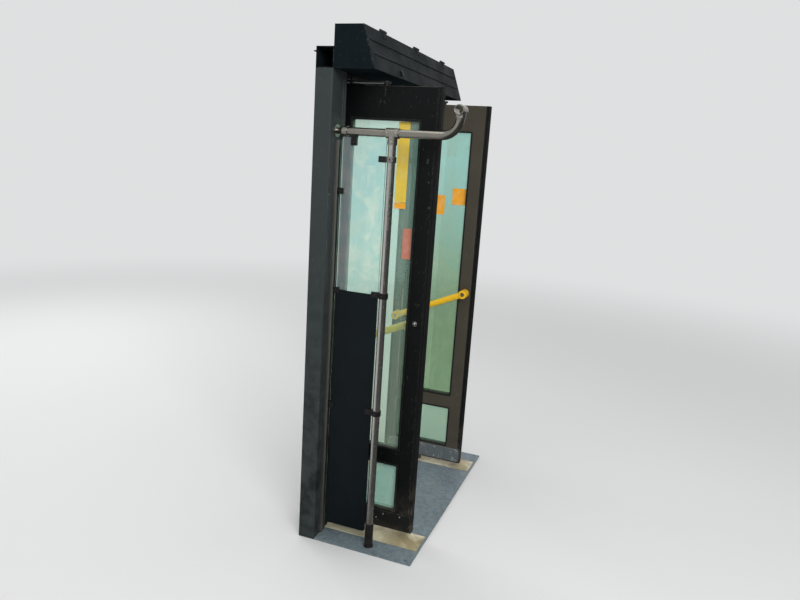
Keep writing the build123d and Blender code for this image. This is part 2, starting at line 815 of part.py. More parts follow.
def rail_hanger():
    """Block between the rail and the top of the screen's glass."""
    y_span = (hanger_y - hanger_wide / 2, hanger_y + hanger_wide / 2)
    hanger = block(guard_x - clamp_half, guard_x + clamp_half, *y_span, rail_z - hanger_drop, rail_z)
    slot = screen_thick / 2 + fit_gap
    hanger -= block(guard_x - slot, guard_x + slot, y_span[0] - past, y_span[1] + past,
                    0, screen_top + fit_gap)
    return hanger - rod((guard_x, y_span[0] - past, rail_z), (guard_x, y_span[1] + past, rail_z), tube_bore)


both = {
    "floor_strips": floor_strip(),
    "stop_strips": stop_strip(),
    "stop_seals": stop_seal(),
    "upper_bearings": upper_bearing(),
    "lower_bearings": lower_bearing(),
    "guide_tracks": guide_track(),
}
paired = {
    "post": door_post(),
    "upper_arm": upper_arm(),
    "lower_arm": lower_arm(),
    "leaf_frame": leaf_frame(),
    "leaf_gaskets": Compound(children=[window_gasket(lower_window), window_gasket(upper_window)]),
    "lower_glass": window_glass(lower_window),
    "upper_glass": window_glass(upper_window),
    "leading_edge": leading_edge(),
    "trailing_edge": trailing_edge(),
    "floor_brush": floor_brush(),
    "kick_plate": kick_plate(),
    "shoe_plate": shoe_plate(),
    "handle": handle(),
    "handle_bolts": handle_bolts(),
    "roller_bracket": roller_bracket(),
    "guide_roller": guide_roller(),
}
nodes = {
    "floor_plate": floor_plate(),
    "threshold": threshold(),
    "threshold_nosing": threshold_nosing(),
    "top_beam": top_beam(),
    "header_seal": header_seal(),
    "header_housing": header_housing(),
    "cover_hinges": cover_hinges(),
    "door_engine": door_engine(),
    "header_cover": header_cover(),
    "cover_latches": cover_latches(),
    "guard_stanchion": stanchion(),
    "guard_foot": stanchion_foot(),
    "guard_cross_rail": cross_rail(),
    "guard_wall_socket": wall_socket(),
    "guard_rail_tee": rail_tee(),
    "guard_rail_clamp": rail_clamp(),
    "guard_wall_channel": wall_channel(),
    "guard_panel": guard_sheet((panel_low, panel_seam)),
    "guard_glass": guard_sheet((panel_seam + seam_gap, screen_top)),
    "guard_stanchion_clamps": stanchion_clamps(),
    "guard_channel_clamps": channel_clamps(),
    "guard_rail_hanger": rail_hanger(),
}
for name, shape in both.items():
    nodes[name] = Compound(children=[shape, rear(shape)])
for name, shape in paired.items():
    nodes["front_" + name] = shape
    nodes["rear_" + name] = rear(shape)

os.makedirs("parts", exist_ok=True)
for name, shape in nodes.items():
    export_step(shape, "parts/" + name + ".step")
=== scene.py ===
import json
import math

import bpy
from mathutils import Matrix, Vector


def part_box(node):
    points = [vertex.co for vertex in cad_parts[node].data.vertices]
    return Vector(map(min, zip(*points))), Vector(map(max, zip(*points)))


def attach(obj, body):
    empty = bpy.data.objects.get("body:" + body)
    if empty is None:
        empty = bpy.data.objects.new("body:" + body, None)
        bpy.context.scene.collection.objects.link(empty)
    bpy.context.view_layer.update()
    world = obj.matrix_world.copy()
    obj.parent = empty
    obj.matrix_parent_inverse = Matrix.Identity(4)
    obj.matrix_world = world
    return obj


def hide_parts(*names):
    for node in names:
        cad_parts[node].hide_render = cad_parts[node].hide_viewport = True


# A bus exit door with its guard screen: finishes, screws, brushes, rubber lips, labels and the studio.

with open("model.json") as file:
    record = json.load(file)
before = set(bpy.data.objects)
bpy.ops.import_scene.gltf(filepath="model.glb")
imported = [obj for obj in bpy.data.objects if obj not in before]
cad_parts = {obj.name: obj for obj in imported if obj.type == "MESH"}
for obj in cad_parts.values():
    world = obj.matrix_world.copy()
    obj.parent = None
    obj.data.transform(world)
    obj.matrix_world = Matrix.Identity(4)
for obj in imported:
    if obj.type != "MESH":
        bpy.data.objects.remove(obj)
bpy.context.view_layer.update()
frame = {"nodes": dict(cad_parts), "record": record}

# Places on the doorway, in metres, as in the part's source. The leaves stand open.
LEAF_PLANE = 0.400
LEAF_FACE = 0.419
LEAF_DEPTH = 0.038
GLASS_FACE = 0.4024
GLASS_DEPTH = 0.0048
KICK_PLATE = 0.002
SHOE_PLATE = 0.0015
BRUSH_SEAT = 0.032
BRUSH_HALF = 0.0048
BRUSH_ENDS = ((-0.4180, -0.2060), (-0.1710, -0.0040))
GUARD_PLANE = -0.545
RAIL_HEIGHT = 1.770
SLEEVE = 0.020
STANCHION_Y = -0.285
STANCHION_CLAMPS = (0.625, 1.129, 1.670)
CHANNEL_CLAMPS = (0.625, 1.129, 1.535)
CLAMP_HALF = 0.008
SILL_SEAT = 0.0081

# Where a finish changes on one piece: the leaves' street side, darker as painted shade; the highest clamp's
# band; the strips' dirt and darker blotches.
STREET_SKIN = 0.0012
BAND_HEIGHT = 1.4
BAND_MARGIN = 0.0005
SWEPT_BAND = (0.004, 0.045)
DARKER_FROM = (-0.30, -0.42)


# Node wiring

def put(tree, kind, inputs=None, **settings):
    """Adds a node with its settings. Each input is a value or another node's output."""
    made = tree.nodes.new(kind)
    for name, value in settings.items():
        setattr(made, name, value)
    for socket, value in (inputs or {}).items():
        if isinstance(value, bpy.types.NodeSocket):
            tree.links.new(value, made.inputs[socket])
        else:
            made.inputs[socket].default_value = value
    return made


def calc(tree, operation, first, second=0.0, clamp=False):
    """One sum on one or two numbers."""
    return put(tree, "ShaderNodeMath", {0: first, 1: second}, operation=operation,
               use_clamp=clamp).outputs[0]


def ramp(tree, value, low, high, start=0.0, end=1.0):
    """Runs smoothly from start to end as the value goes from low to high."""
    return put(tree, "ShaderNodeMapRange",
               {"Value": value, "From Min": low, "From Max": high, "To Min": start, "To Max": end},
               interpolation_type="SMOOTHSTEP").outputs[0]


def mixed(tree, share, first, second, blend="MIX"):
    """Two colours, each a value or an output, mixed by share."""
    return put(tree, "ShaderNodeMix", {0: share, 6: first, 7: second},
               data_type="RGBA", blend_type=blend).outputs[2]


def noise(tree, place, scale, detail=3.0, roughness=0.55, distortion=0.0):
    return put(tree, "ShaderNodeTexNoise",
               {"Vector": place, "Scale": scale, "Detail": detail, "Roughness": roughness,
                "Distortion": distortion}).outputs[0]


def stretched(tree, place, factors):
    """The place, scaled along each axis, so that a pattern is drawn out."""
    return put(tree, "ShaderNodeVectorMath", {0: place, 1: factors}, operation="MULTIPLY").outputs[0]


def xyz(tree, vector):
    return put(tree, "ShaderNodeSeparateXYZ", {0: vector}).outputs


def effect(name, inputs, outputs):
    """An empty node group, with its input and output sockets."""
    tree = bpy.data.node_groups.new(name, "ShaderNodeTree")
    tree.interface.new_socket("Place", in_out="INPUT", socket_type="NodeSocketVector")
    for label, value in inputs.items():
        kind = "NodeSocketColor" if isinstance(value, tuple) and len(value) == 4 else (
            "NodeSocketVector" if isinstance(value, tuple) else "NodeSocketFloat")
        tree.interface.new_socket(label, in_out="INPUT", socket_type=kind).default_value = value
    for label, kind in outputs.items():
        tree.interface.new_socket(label, in_out="OUTPUT", socket_type="NodeSocket" + kind)
    return tree, tree.nodes.new("NodeGroupInput").outputs, tree.nodes.new("NodeGroupOutput").inputs


def join(tree, output, socket):
    tree.links.new(output, socket)


def use(tree, group, place, **inputs):
    """Places an effect in a material. Input names are given with _ for a space."""
    values = {name.replace("_", " "): value for name, value in inputs.items()}
    return put(tree, "ShaderNodeGroup", {"Place": place, **values}, node_tree=group).outputs


# Effects that several finishes share

def make_low_dust_and_shade():
    """Dirt that gathers low on the doorway and on what faces up. Given a near-black colour, it is painted
    shade instead, darker towards the floor.
    """
    tree, given, out = effect("floor_dust", {"Amount": 0.5, "Reach": 0.4, "Scale": 14.0},
                              {"Mask": "Float"})
    low = ramp(tree, xyz(tree, given["Place"])[2], 0.0, given["Reach"], start=1.0, end=0.0)
    facing = xyz(tree, put(tree, "ShaderNodeNewGeometry").outputs["Normal"])[2]
    up = ramp(tree, facing, 0.25, 0.95, start=0.0, end=0.7)
    cloud = ramp(tree, noise(tree, given["Place"], given["Scale"], detail=6.0, roughness=0.62), 0.34, 0.72)
    gathered = calc(tree, "ADD", low, up, clamp=True)
    join(tree, calc(tree, "MULTIPLY", calc(tree, "MULTIPLY", gathered, cloud), given["Amount"]), out["Mask"])
    return tree


def make_edge_wear():
    """Edges rubbed through, and the normal that rounds them."""
    tree, given, out = effect("edge_wear", {"Radius": 0.002, "Amount": 0.6, "Scale": 60.0},
                              {"Mask": "Float", "Normal": "Vector"})
    rounded = put(tree, "ShaderNodeBevel", {"Radius": given["Radius"]}, samples=4).outputs[0]
    flat = put(tree, "ShaderNodeNewGeometry").outputs["Normal"]
    along = put(tree, "ShaderNodeVectorMath", {0: rounded, 1: flat}, operation="DOT_PRODUCT").outputs["Value"]
    patchy = ramp(tree, noise(tree, given["Place"], given["Scale"], detail=5.0, roughness=0.65), 0.42, 0.66)
    rubbed = ramp(tree, calc(tree, "SUBTRACT", 1.0, along), 0.015, 0.16)
    join(tree, calc(tree, "MULTIPLY", calc(tree, "MULTIPLY", rubbed, patchy), given["Amount"]), out["Mask"])
    join(tree, rounded, out["Normal"])
    return tree


def make_scratches():
    """Thin broken scratches, longer one way than the other."""
    tree, given, out = effect("scratches", {"Stretch": (1.0, 1.0, 0.25), "Scale": 30.0, "Amount": 0.5,
                                            "Width": 0.012, "Breaks": 55.0}, {"Mask": "Float"})
    drawn = noise(tree, stretched(tree, given["Place"], given["Stretch"]), given["Scale"], detail=2.0,
                  roughness=0.5, distortion=0.6)
    line = calc(tree, "ABSOLUTE", calc(tree, "SUBTRACT", drawn, 0.5))
    thin = ramp(tree, line, 0.0, given["Width"], start=1.0, end=0.0)
    broken = ramp(tree, noise(tree, given["Place"], given["Breaks"], detail=4.0, roughness=0.6), 0.52, 0.66)
    join(tree, calc(tree, "MULTIPLY", calc(tree, "MULTIPLY", thin, broken), given["Amount"]), out["Mask"])
    return tree


def make_pebble():
    """Fine orange peel or moulded grain."""
    tree, given, out = effect("pebble", {"Scale": 700.0}, {"Height": "Float"})
    cells = put(tree, "ShaderNodeTexVoronoi", {"Vector": given["Place"], "Scale": given["Scale"]},
                feature="SMOOTH_F1").outputs["Distance"]
    grain = noise(tree, given["Place"], given["Scale"], detail=2.0)
    join(tree, calc(tree, "ADD", cells, grain), out["Height"])
    return tree


def make_brushed():
    """Grain left by a belt, drawn out along the length."""
    tree, given, out = effect("brushed", {"Stretch": (900.0, 900.0, 9.0)},
                              {"Grain": "Float", "Smear": "Float"})
    drawn = stretched(tree, given["Place"], given["Stretch"])
    join(tree, noise(tree, drawn, scale=1.0, detail=3.0, roughness=0.6), out["Grain"])
    cloud = noise(tree, given["Place"], scale=22.0, detail=5.0, roughness=0.6, distortion=0.4)
    join(tree, ramp(tree, cloud, 0.38, 0.68), out["Smear"])
    return tree


def make_smears():
    """Hand marks, dried drips and dust on glass."""
    tree, given, out = effect("smears", {"Amount": 0.5}, {"Mask": "Float"})
    cloud = noise(tree, given["Place"], scale=7.0, detail=5.0, roughness=0.62, distortion=0.8)
    cloud = ramp(tree, cloud, 0.40, 0.70)
    drips = noise(tree, stretched(tree, given["Place"], (70.0, 70.0, 5.0)), scale=1.0, detail=3.0)
    drips = ramp(tree, drips, 0.52, 0.74)
    specks = ramp(tree, noise(tree, given["Place"], scale=420.0, detail=2.0, roughness=0.7), 0.60, 0.74)
    marks = calc(tree, "ADD", calc(tree, "MULTIPLY", cloud, 0.6), calc(tree, "MULTIPLY", drips, 0.35))
    marks = calc(tree, "ADD", marks, calc(tree, "MULTIPLY", specks, 0.45), clamp=True)
    join(tree, calc(tree, "MULTIPLY", marks, given["Amount"]), out["Mask"])
    return tree


def make_flecks():
    """Small chips in two tones, as in safety flooring."""
    tree, given, out = effect("flecks", {"Scale": 330.0, "Share": 0.35},
                              {"Mask": "Float", "Tone": "Float"})
    chips = put(tree, "ShaderNodeTexVoronoi", {"Vector": given["Place"], "Scale": given["Scale"]}).outputs
    chance = put(tree, "ShaderNodeSeparateColor", {0: chips["Color"]}).outputs
    inside = ramp(tree, chips["Distance"], 0.18, 0.34, start=1.0, end=0.0)
    chosen = calc(tree, "LESS_THAN", chance[0], given["Share"])
    join(tree, calc(tree, "MULTIPLY", inside, chosen), out["Mask"])
    join(tree, chance[1], out["Tone"])
    return tree


def make_uneven():
    """A colour that varies slowly over the surface."""
    tree, given, out = effect("uneven", {"Colour": (0.5, 0.5, 0.5, 1.0), "Spread": 0.2, "Scale": 6.0},
                              {"Colour": "Color"})
    cloud = noise(tree, given["Place"], given["Scale"], detail=4.0, roughness=0.6)
    level = calc(tree, "ADD", calc(tree, "MULTIPLY", calc(tree, "SUBTRACT", cloud, 0.5),
                                   calc(tree, "MULTIPLY", given["Spread"], 4.0)), 1.0)
    shade = put(tree, "ShaderNodeCombineColor", {0: level, 1: level, 2: level}).outputs[0]
    join(tree, mixed(tree, 1.0, given["Colour"], shade, "MULTIPLY"), out["Colour"])
    return tree


floor_dust = make_low_dust_and_shade()
edge_wear = make_edge_wear()
scratches = make_scratches()
pebble = make_pebble()
brushed = make_brushed()
smears = make_smears()
flecks = make_flecks()
uneven = make_uneven()

DUST = (0.27, 0.235, 0.185, 1.0)
# Near-black painted shade, mixed in towards the floor on the posts and the guard panel.
LOW_SHADE = (0.003, 0.005, 0.005, 1.0)
BARE_METAL = (0.60, 0.59, 0.56, 1.0)


# Finishes

def begin(name):
    """A new material, its node tree, its shader and the place on the piece."""
    material = bpy.data.materials.new(name)
    material.use_nodes = True
    tree = material.node_tree
    place = tree.nodes.new("ShaderNodeTexCoord").outputs["Object"]
    return material, tree, tree.nodes["Principled BSDF"], place


def rgba(colour):
    return (*colour, 1.0)


def coated(name, colour, rough, wear=0.5, radius=0.0015, scratch=0.25, dust=0.35, reach=0.45,
           grain=900.0, bump=0.03, under=BARE_METAL, coat=0.0, spread=0.12, second=None,
           lines=(1.0, 1.0, 0.25), width=0.012, breaks=55.0, gloss=0.3, dents=0.0, soil_and_shade=DUST):
    """Painted or powder-coated metal, rubbed at its edges. A darker second colour covers the leaves' street
    side: painted shade, against the painted light of their brown-grey inner faces.
    """
    material, tree, shader, place = begin(name)
    base = use(tree, uneven, place, Colour=rgba(colour), Spread=spread, Scale=5.0)["Colour"]
    if second:
        side = calc(tree, "ABSOLUTE", xyz(tree, place)[0])
        street = calc(tree, "GREATER_THAN", side, LEAF_FACE - STREET_SKIN)
        other = use(tree, uneven, place, Colour=rgba(second), Spread=spread, Scale=5.0)["Colour"]
        base = mixed(tree, street, base, other)
    edges = use(tree, edge_wear, place, Radius=radius, Amount=wear)
    lined = use(tree, scratches, place, Stretch=lines, Amount=scratch, Width=width, Breaks=breaks)["Mask"]
    bare = calc(tree, "MAXIMUM", edges["Mask"], calc(tree, "MULTIPLY", lined, 0.5))
    # This mask lays the soil colour low down and on upward faces. It is dust in most finishes, and painted
    # shade where that colour is near-black, as on the posts and the panel.
    dirt_and_shade = use(tree, floor_dust, place, Amount=dust, Reach=reach)["Mask"]
    painted = mixed(tree, bare, base, under)
    join(tree, mixed(tree, dirt_and_shade, painted, soil_and_shade), shader.inputs["Base Color"])
    metal = calc(tree, "MULTIPLY", bare, calc(tree, "SUBTRACT", 1.0, dirt_and_shade), clamp=True)
    join(tree, metal, shader.inputs["Metallic"])
    cloud = ramp(tree, noise(tree, place, scale=9.0, detail=4.0, roughness=0.6), 0.3, 0.7,
                 start=rough - 0.07, end=rough + 0.08)
    join(tree, calc(tree, "ADD", cloud, calc(tree, "MULTIPLY", dirt_and_shade, 0.4), clamp=True),
         shader.inputs["Roughness"])
    height = calc(tree, "ADD", use(tree, pebble, place, Scale=grain)["Height"],
                  calc(tree, "MULTIPLY", lined, -1.5))
    if dents:
        knocks = noise(tree, stretched(tree, place, (34.0, 34.0, 11.0)), scale=1.0, detail=2.0,
                       roughness=0.5, distortion=0.5)
        height = calc(tree, "ADD", height, calc(tree, "MULTIPLY", knocks, dents))
    shaped = put(tree, "ShaderNodeBump", {"Height": height, "Strength": bump * 4, "Distance": 0.001,
                                          "Normal": edges["Normal"]})
    join(tree, shaped.outputs[0], shader.inputs["Normal"])
    shader.inputs["Specular IOR Level"].default_value = gloss
    shader.inputs["Coat Weight"].default_value = coat
    shader.inputs["Coat Roughness"].default_value = 0.12
    return material


def bare_metal(name, colour, rough, stretch, dust=0.2, reach=0.3, lines=0.3):
    """Satin metal with belt grain, smears and scratches."""
    material, tree, shader, place = begin(name)
    belt = use(tree, brushed, place, Stretch=stretch)
    lined = use(tree, scratches, place, Amount=lines, Stretch=(1.0, 0.4, 0.6))["Mask"]
    edges = use(tree, edge_wear, place, Radius=0.0012, Amount=0.3)
    dirt_and_shade = use(tree, floor_dust, place, Amount=dust, Reach=reach)["Mask"]
    base = use(tree, uneven, place, Colour=rgba(colour), Spread=0.1, Scale=8.0)["Colour"]
    duller = mixed(tree, calc(tree, "MULTIPLY", belt["Smear"], 0.25), base, rgba([c * 0.55 for c in colour]))
    join(tree, mixed(tree, dirt_and_shade, duller, DUST), shader.inputs["Base Color"])
    join(tree, calc(tree, "SUBTRACT", 1.0, dirt_and_shade, clamp=True), shader.inputs["Metallic"])
    spread = ramp(tree, belt["Grain"], 0.3, 0.7, start=rough - 0.07, end=rough + 0.09)
    spread = calc(tree, "ADD", spread, calc(tree, "MULTIPLY", belt["Smear"], 0.1))
    spread = calc(tree, "ADD", spread, calc(tree, "MULTIPLY", dirt_and_shade, 0.4))
    join(tree, calc(tree, "ADD", spread, calc(tree, "MULTIPLY", lined, 0.15), clamp=True),
         shader.inputs["Roughness"])
    height = calc(tree, "SUBTRACT", belt["Grain"], lined)
    shaped = put(tree, "ShaderNodeBump", {"Height": height, "Strength": 0.08, "Distance": 0.001,
                                          "Normal": edges["Normal"]})
    join(tree, shaped.outputs[0], shader.inputs["Normal"])
    return material


def soft_black(name, colour, rough, grain, bump, dust=0.5, reach=0.5, lines=0.1, pale=(0.13, 0.125, 0.115),
               band=None):
    """Rubber or moulded plastic, scuffed grey and dusty near the floor. The highest clamp's band is steel."""
    material, tree, shader, place = begin(name)
    base = use(tree, uneven, place, Colour=rgba(colour), Spread=0.15, Scale=11.0)["Colour"]
    lined = use(tree, scratches, place, Amount=lines, Scale=45.0)["Mask"]
    edges = use(tree, edge_wear, place, Radius=0.0012, Amount=0.35)
    scuffed = calc(tree, "MAXIMUM", lined, edges["Mask"])
    dirt_and_shade = use(tree, floor_dust, place, Amount=dust, Reach=reach, Scale=22.0)["Mask"]
    soft = mixed(tree, dirt_and_shade, mixed(tree, scuffed, base, rgba(pale)), DUST)
    cloud = ramp(tree, noise(tree, place, scale=16.0, detail=4.0), 0.3, 0.7,
                 start=rough - 0.08, end=rough + 0.08)
    if band:
        spot = xyz(tree, place)
        steel = calc(tree, "MULTIPLY", calc(tree, "GREATER_THAN", spot[2], BAND_HEIGHT),
                     calc(tree, "LESS_THAN", spot[1], STANCHION_Y + SLEEVE - BAND_MARGIN))
        soft = mixed(tree, steel, soft, rgba(band))
        cloud = calc(tree, "SUBTRACT", cloud, calc(tree, "MULTIPLY", steel, 0.18))
        join(tree, steel, shader.inputs["Metallic"])
    join(tree, soft, shader.inputs["Base Color"])
    join(tree, calc(tree, "ADD", cloud, calc(tree, "MULTIPLY", dirt_and_shade, 0.3), clamp=True),
         shader.inputs["Roughness"])
    shaped = put(tree, "ShaderNodeBump",
                 {"Height": use(tree, pebble, place, Scale=grain)["Height"], "Strength": bump,
                  "Distance": 0.001, "Normal": edges["Normal"]})
    join(tree, shaped.outputs[0], shader.inputs["Normal"])
    shader.inputs["Specular IOR Level"].default_value = 0.2
    return material


def tinted_glass(name, tint, haze, marks, veil, low_tint=None, span=(0.5, 1.7), fine=1.0):
    """Green safety glass with smears and a thin veil of dust. A long pane has a second colour low down, which
    on the leaves is painted light and shade for what is seen through the pane.
    """
    material, tree, shader, place = begin(name)
    film = use(tree, smears, stretched(tree, place, (fine, fine, fine)), Amount=haze)["Mask"]
    body = rgba(tint)
    if low_tint:
        body = mixed(tree, ramp(tree, xyz(tree, place)[2], *span), rgba(low_tint), body)
    join(tree, mixed(tree, film, body, rgba(marks)), shader.inputs["Base Color"])
    join(tree, ramp(tree, film, 0.0, 1.0, start=0.0, end=0.06), shader.inputs["Roughness"])
    shader.inputs["Transmission Weight"].default_value = 1.0 - veil
    shader.inputs["IOR"].default_value = 1.5
    clear = put(tree, "ShaderNodeBsdfTransparent", {"Color": rgba([0.5 + 0.48 * c for c in tint])})
    rays = tree.nodes.new("ShaderNodeLightPath").outputs["Is Shadow Ray"]
    chosen = put(tree, "ShaderNodeMixShader", {0: rays, 1: shader.outputs[0], 2: clear.outputs[0]})
    join(tree, chosen.outputs[0], tree.nodes["Material Output"].inputs["Surface"])
    return material


def floor_sheet(name):
    """Speckled safety flooring, with pale walked-in scuffs."""
    material, tree, shader, place = begin(name)
    base = use(tree, uneven, place, Colour=(0.178, 0.226, 0.252, 1.0), Spread=0.16, Scale=4.0)["Colour"]
    mottle = ramp(tree, noise(tree, place, scale=52.0, detail=2.0, roughness=0.6), 0.36, 0.64)
    base = mixed(tree, mottle, mixed(tree, 0.30, base, (0.02, 0.03, 0.035, 1.0)), base)
    chips = use(tree, flecks, place, Scale=190.0, Share=0.5)
    chip_colour = mixed(tree, chips["Tone"], (0.030, 0.045, 0.055, 1.0), (0.36, 0.42, 0.45, 1.0))
    laid = mixed(tree, calc(tree, "MULTIPLY", chips["Mask"], 0.85), base, chip_colour)
    lined = use(tree, scratches, place, Amount=0.35, Scale=11.0, Stretch=(1.0, 0.5, 1.0))["Mask"]
    trodden = noise(tree, place, scale=3.2, detail=6.0, roughness=0.62, distortion=0.5)
    trodden = ramp(tree, trodden, 0.47, 0.72, start=0.0, end=0.38)
    worn = calc(tree, "ADD", lined, trodden, clamp=True)
    join(tree, mixed(tree, worn, laid, (0.27, 0.28, 0.265, 1.0)), shader.inputs["Base Color"])
    join(tree, ramp(tree, worn, 0.0, 0.6, start=0.46, end=0.68), shader.inputs["Roughness"])
    edges = use(tree, edge_wear, place, Radius=0.002, Amount=0.3)
    height = calc(tree, "ADD", use(tree, pebble, place, Scale=520.0)["Height"], chips["Mask"])
    shaped = put(tree, "ShaderNodeBump", {"Height": height, "Strength": 0.25, "Distance": 0.001,
                                          "Normal": edges["Normal"]})
    join(tree, shaped.outputs[0], shader.inputs["Normal"])
    return material


def cream_sheet(name):
    """Pale strip under an open leaf, grimy where the brush and shoes pass."""
    material, tree, shader, place = begin(name)
    base = use(tree, uneven, place, Colour=(0.70, 0.65, 0.46, 1.0), Spread=0.14, Scale=9.0)["Colour"]
    spot = xyz(tree, place)
    off = calc(tree, "ABSOLUTE", calc(tree, "SUBTRACT", calc(tree, "ABSOLUTE", spot[0]), LEAF_PLANE))
    swept = ramp(tree, off, *SWEPT_BAND, start=0.75, end=0.1)
    grime = ramp(tree, noise(tree, place, scale=17.0, detail=7.0, roughness=0.68, distortion=0.3), 0.42, 0.68)
    dots = ramp(tree, noise(tree, place, scale=160.0, detail=3.0, roughness=0.6), 0.56, 0.72,
                start=0.0, end=0.55)
    dirty = calc(tree, "ADD", calc(tree, "MULTIPLY", grime, swept),
                 calc(tree, "MULTIPLY", dots, 0.5), clamp=True)
    lined = use(tree, scratches, place, Amount=0.6, Scale=24.0, Stretch=(1.0, 0.3, 1.0))["Mask"]
    dirty = calc(tree, "MAXIMUM", dirty, lined)
    # Brown blotches darken the strip all along, more strongly from y -0.30 m to -0.42 m.
    blotches = noise(tree, place, scale=6.0, detail=5.0, roughness=0.6, distortion=0.6)
    darker_patch = calc(tree, "MULTIPLY", ramp(tree, blotches, 0.44, 0.62),
                 ramp(tree, spot[1], *DARKER_FROM, start=0.35, end=0.85))
    base = mixed(tree, darker_patch, base, (0.33, 0.26, 0.13, 1.0))
    join(tree, mixed(tree, dirty, base, (0.17, 0.135, 0.085, 1.0)), shader.inputs["Base Color"])
    join(tree, ramp(tree, dirty, 0.0, 1.0, start=0.42, end=0.75), shader.inputs["Roughness"])
    grain = noise(tree, place, scale=260.0, detail=4.0)
    shaped = put(tree, "ShaderNodeBump", {"Height": grain, "Strength": 0.2, "Distance": 0.001})
    join(tree, shaped.outputs[0], shader.inputs["Normal"])
    return material


def label_film(name, colour):
    """Blank self-adhesive label, faded by the sun."""
    material, tree, shader, place = begin(name)
    base = use(tree, uneven, place, Colour=rgba(colour), Spread=0.12, Scale=14.0)["Colour"]
    faded = ramp(tree, noise(tree, place, scale=30.0, detail=5.0, roughness=0.6), 0.45, 0.75,
                 start=0.0, end=0.35)
    lined = use(tree, scratches, place, Amount=0.5, Scale=60.0)["Mask"]
    pale = rgba([0.5 * c + 0.38 for c in colour])
    join(tree, mixed(tree, calc(tree, "MAXIMUM", faded, lined), base, pale), shader.inputs["Base Color"])
    join(tree, ramp(tree, faded, 0.0, 0.35, start=0.35, end=0.55), shader.inputs["Roughness"])
    ripples = noise(tree, place, scale=45.0, detail=3.0)
    shaped = put(tree, "ShaderNodeBump", {"Height": ripples, "Strength": 0.2, "Distance": 0.001})
    join(tree, shaped.outputs[0], shader.inputs["Normal"])
    return material


# The leaves' brown-grey inner faces are painted light, and their near-black street side is painted shade.
leaf_paint = coated("leaf_paint", colour=(0.063, 0.056, 0.043), rough=0.42,
                    second=(0.0040, 0.0050, 0.0052), wear=0.45, scratch=0.2, dust=0.16, reach=0.3,
                    gloss=0.12)
# The posts darken cloudily to near-black towards the floor, fading out by 1.7 m, and on faces that look up:
# painted shade.
post_paint = coated("post_paint", colour=(0.034, 0.042, 0.042), rough=0.44, wear=0.35, radius=0.002,
                    scratch=0.15, dust=0.8, reach=1.7, gloss=0.2, soil_and_shade=LOW_SHADE)
header_paint = coated("header_paint", colour=(0.008, 0.012, 0.014), rough=0.60, wear=0.25, radius=0.002,
                      scratch=0.08, dust=0.12, reach=0.2, gloss=0.0)
cover_paint = coated("cover_paint", colour=(0.009, 0.013, 0.015), rough=0.55, wear=0.25, radius=0.002,
                     scratch=0.08, dust=0.12, reach=0.2, gloss=0.08)
arm_paint = coated("arm_paint", colour=(0.016, 0.016, 0.017), rough=0.42, wear=0.7, scratch=0.5)
# The kick plate's blue-grey base colour is painted reflection on a gloss black sheet. Its wide pale vertical
# scratches over a near-white under colour are painted glints, and in part real scuffs.
kick_paint = coated("kick_paint", colour=(0.112, 0.130, 0.137), rough=0.20, wear=0.9, radius=0.0022,
                    scratch=1.6, dust=0.10, reach=0.06, under=(0.78, 0.80, 0.80, 1.0), coat=0.7, bump=0.10,
                    lines=(1.0, 1.8, 0.28), width=0.05, breaks=17.0, gloss=0.5, dents=24.0)
shoe_paint = coated("shoe_paint", colour=(0.0075, 0.008, 0.008), rough=0.34, wear=0.8, radius=0.0018,
                    scratch=0.55, dust=0.15, reach=0.08, bump=0.08, lines=(1.0, 0.6, 0.5), gloss=0.3,
                    dents=10.0)
handle_paint = coated("handle_paint", colour=(0.84, 0.49, 0.014), rough=0.34, wear=0.35, scratch=0.35,
                      dust=0.0, under=(0.62, 0.50, 0.30, 1.0), coat=0.25, grain=600.0, spread=0.06)
nosing_paint = coated("nosing_paint", colour=(0.80, 0.47, 0.015), rough=0.45, wear=0.9, scratch=0.8,
                      dust=0.8, reach=0.06, under=(0.35, 0.33, 0.29, 1.0), lines=(0.3, 1.0, 1.0))
cast_metal = coated("cast_metal", colour=(0.36, 0.36, 0.35), rough=0.55, wear=0.3, scratch=0.1, dust=0.4,
                    grain=260.0, bump=0.12)
screw_black = coated("screw_black", colour=(0.012, 0.012, 0.013), rough=0.36, wear=1.0, radius=0.0006,
                     scratch=0.0, dust=0.1, under=(0.35, 0.34, 0.33, 1.0))
# The panel darkens cloudily to near-black towards the floor, fading out by 1.3 m, and on faces that look up:
# painted shade.
panel_laminate = coated("panel_laminate", colour=(0.0045, 0.0078, 0.0100), rough=0.36, wear=0.5,
                        radius=0.0012, scratch=0.16, dust=0.5, reach=1.3, under=(0.10, 0.10, 0.10, 1.0),
                        bump=0.012, gloss=0.1, soil_and_shade=LOW_SHADE)
stanchion_steel = bare_metal("stanchion_steel", colour=(0.50, 0.49, 0.46), rough=0.14,
                             stretch=(900.0, 900.0, 9.0))
rail_steel = bare_metal("rail_steel", colour=(0.27, 0.26, 0.225), rough=0.15, stretch=(900.0, 9.0, 900.0))
fitting_steel = bare_metal("fitting_steel", colour=(0.31, 0.30, 0.265), rough=0.22,
                           stretch=(260.0, 260.0, 260.0))
channel_aluminium = bare_metal("channel_aluminium", colour=(0.27, 0.275, 0.25), rough=0.36,
                               stretch=(700.0, 700.0, 12.0), lines=0.6)
track_aluminium = bare_metal("track_aluminium", colour=(0.17, 0.165, 0.15), rough=0.42,
                             stretch=(12.0, 700.0, 700.0), dust=0.3, lines=0.8)
sill_aluminium = bare_metal("sill_aluminium", colour=(0.56, 0.55, 0.52), rough=0.38,
                            stretch=(12.0, 700.0, 700.0), dust=0.75, reach=0.05, lines=0.9)
fastener_steel = bare_metal("fastener_steel", colour=(0.46, 0.455, 0.44), rough=0.22,
                            stretch=(500.0, 500.0, 500.0), dust=0.1)
